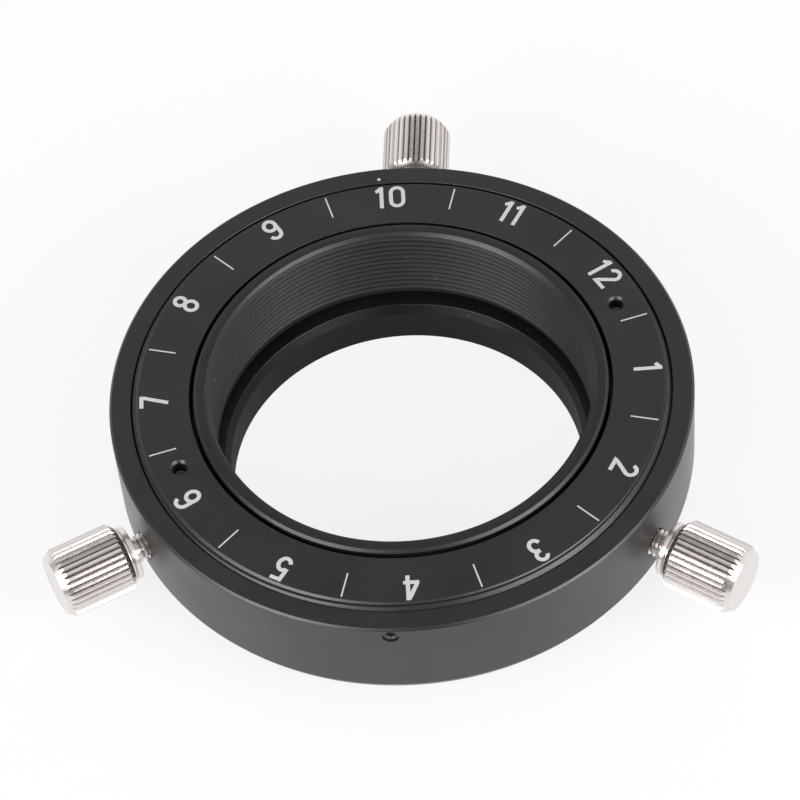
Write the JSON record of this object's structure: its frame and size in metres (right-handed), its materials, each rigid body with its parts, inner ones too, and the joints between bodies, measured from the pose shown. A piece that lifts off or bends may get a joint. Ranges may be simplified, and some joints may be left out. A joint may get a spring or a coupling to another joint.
{
  "type": "optical rotation mount",
  "caption": "Black camera or eyepiece rotator: a threaded ring turns in a round housing under a numbered dial ring and is locked by knurled thumbscrews set round the wall.",
  "frame": {"origin": "on the optical axis, at the lower end of the male threaded barrel", "axes": "+Z along the optical axis from the telescope side to the dial; +Y towards the thumbscrew that is backed out a little; the dial reads clockwise seen from +Z"},
  "size_m": [0.076, 0.0744, 0.0163],
  "materials": {
    "housing_anodised": "satin black anodised, finely turned",
    "dial_anodised": "satin black anodised, with light engraved numbers and ticks",
    "rotor_anodised": "satin black anodised, finely turned",
    "slip_ring_plastic": "low-friction plastic, off-white, matte",
    "thumbscrew_nickel": "bright nickel plate over a straight knurl",
    "shoe_brass": "turned brass",
    "grub_screw_black_oxide": "black oxide"
  },
  "bodies": {
    "housing": {"housing": "housing_anodised", "dial_ring": "dial_anodised", "upper_slip_ring": "slip_ring_plastic", "lower_slip_ring": "slip_ring_plastic", "dial_grub_screw_front": "grub_screw_black_oxide", "dial_grub_screw_rear_right": "grub_screw_black_oxide", "dial_grub_screw_rear_left": "grub_screw_black_oxide"},
    "rotor": {"rotor_ring": "rotor_anodised"},
    "rear_shoe": {"locking_shoe_rear": "shoe_brass"},
    "rear_thumbscrew": {"thumbscrew_rear": "thumbscrew_nickel"},
    "left_shoe": {"locking_shoe_left": "shoe_brass"},
    "left_thumbscrew": {"thumbscrew_left": "thumbscrew_nickel"},
    "right_shoe": {"locking_shoe_right": "shoe_brass"},
    "right_thumbscrew": {"thumbscrew_right": "thumbscrew_nickel"}
  },
  "joints": [
    {"name": "rotor_turn", "type": "hinge", "parent": "housing", "child": "rotor", "pos_m": [0, 0, 0.01235], "axis": [0, 0, 1], "continuous": true},
    {"name": "rear_shoe_slide", "type": "slide", "parent": "housing", "child": "rear_shoe", "axis": [0, 1, 0], "range_m": [-0.0009, 0.0006]},
    {"name": "rear_screw_turn", "type": "hinge", "parent": "rear_shoe", "child": "rear_thumbscrew", "pos_m": [0, 0.0345, 0.00855], "axis": [0, 1, 0], "range_deg": [-648, 432]},
    {"name": "left_shoe_slide", "type": "slide", "parent": "housing", "child": "left_shoe", "axis": [-0.866, -0.5, 0], "range_m": [0, 0.0015]},
    {"name": "left_screw_turn", "type": "hinge", "parent": "left_shoe", "child": "left_thumbscrew", "pos_m": [-0.02988, -0.01725, 0.00855], "axis": [-0.866, -0.5, 0], "range_deg": [0, 1080]},
    {"name": "right_shoe_slide", "type": "slide", "parent": "housing", "child": "right_shoe", "axis": [0.866, -0.5, 0], "range_m": [0, 0.0015]},
    {"name": "right_screw_turn", "type": "hinge", "parent": "right_shoe", "child": "right_thumbscrew", "pos_m": [0.02988, -0.01725, 0.00855], "axis": [0.866, -0.5, 0], "range_deg": [0, 1080]}
  ],
  "couplings": [
    {"joint": "rear_screw_turn", "follows": "rear_shoe_slide", "rad_per_m": 12566},
    {"joint": "left_screw_turn", "follows": "left_shoe_slide", "rad_per_m": 12566},
    {"joint": "right_screw_turn", "follows": "right_shoe_slide", "rad_per_m": 12566}
  ]
}
